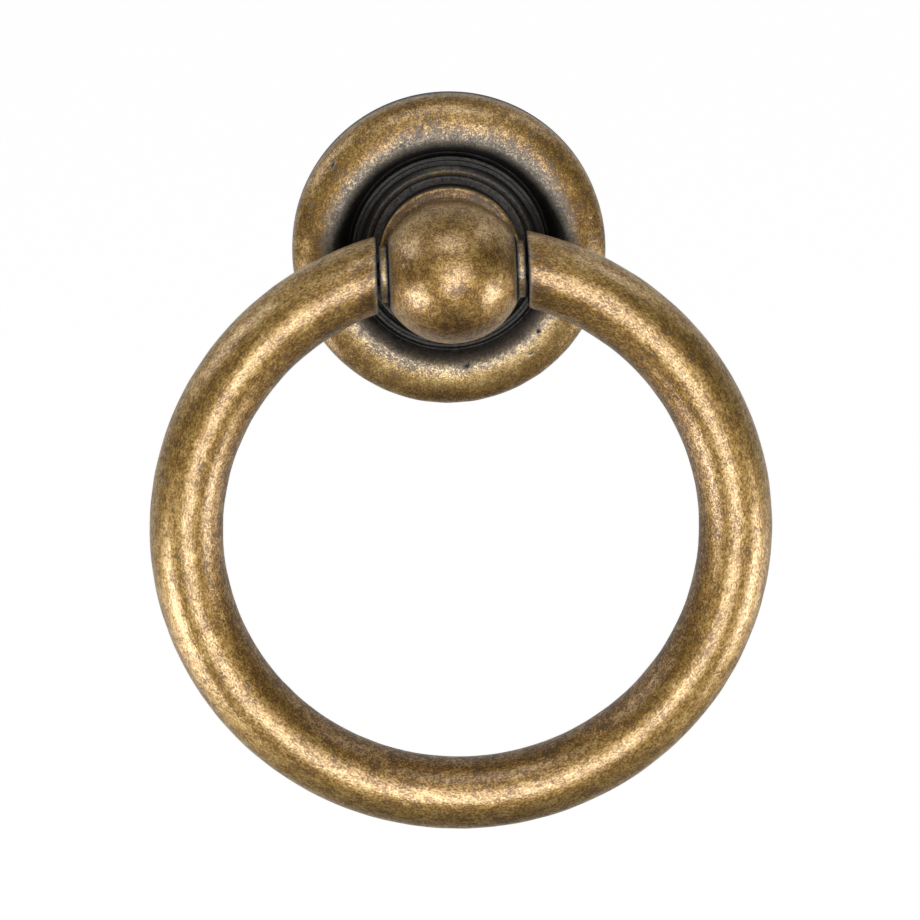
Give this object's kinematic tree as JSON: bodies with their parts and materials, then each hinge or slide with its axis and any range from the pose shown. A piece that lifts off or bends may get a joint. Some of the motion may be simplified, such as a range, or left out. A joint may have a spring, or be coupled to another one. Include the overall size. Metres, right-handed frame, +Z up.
{
  "type": "ring pull handle",
  "caption": "Drawer or cabinet pull: an open round-bar ring hangs on a pivot pin through a ball post on a dished round rosette with a tapped screw hole in its back.",
  "frame": {"origin": "centre of the rosette's back face, at the mouth of the screw hole", "axes": "+Y points out of the back along the screw hole, into the drawer front; +Z is up; +X is along the ring's pivot, to the right seen from the front"},
  "size_m": [0.0634, 0.0211, 0.0748],
  "materials": {
    "antique_brass": "aged antique brass, dark in the recesses and rubbed back on the high parts",
    "pin_steel": "black-oxide ground steel, hidden apart from the two narrow gaps beside the ball"
  },
  "bodies": {
    "base": {"rosette": "antique_brass", "ball_post": "antique_brass", "pivot_pin": "pin_steel"},
    "ring": {"ring": "antique_brass"}
  },
  "joints": [
    {"name": "ring_swing", "type": "hinge", "parent": "base", "child": "ring", "pos_m": [0, -0.0139, 0], "axis": [-1, 0, 0], "range_deg": [-10.5, 190.5]}
  ]
}
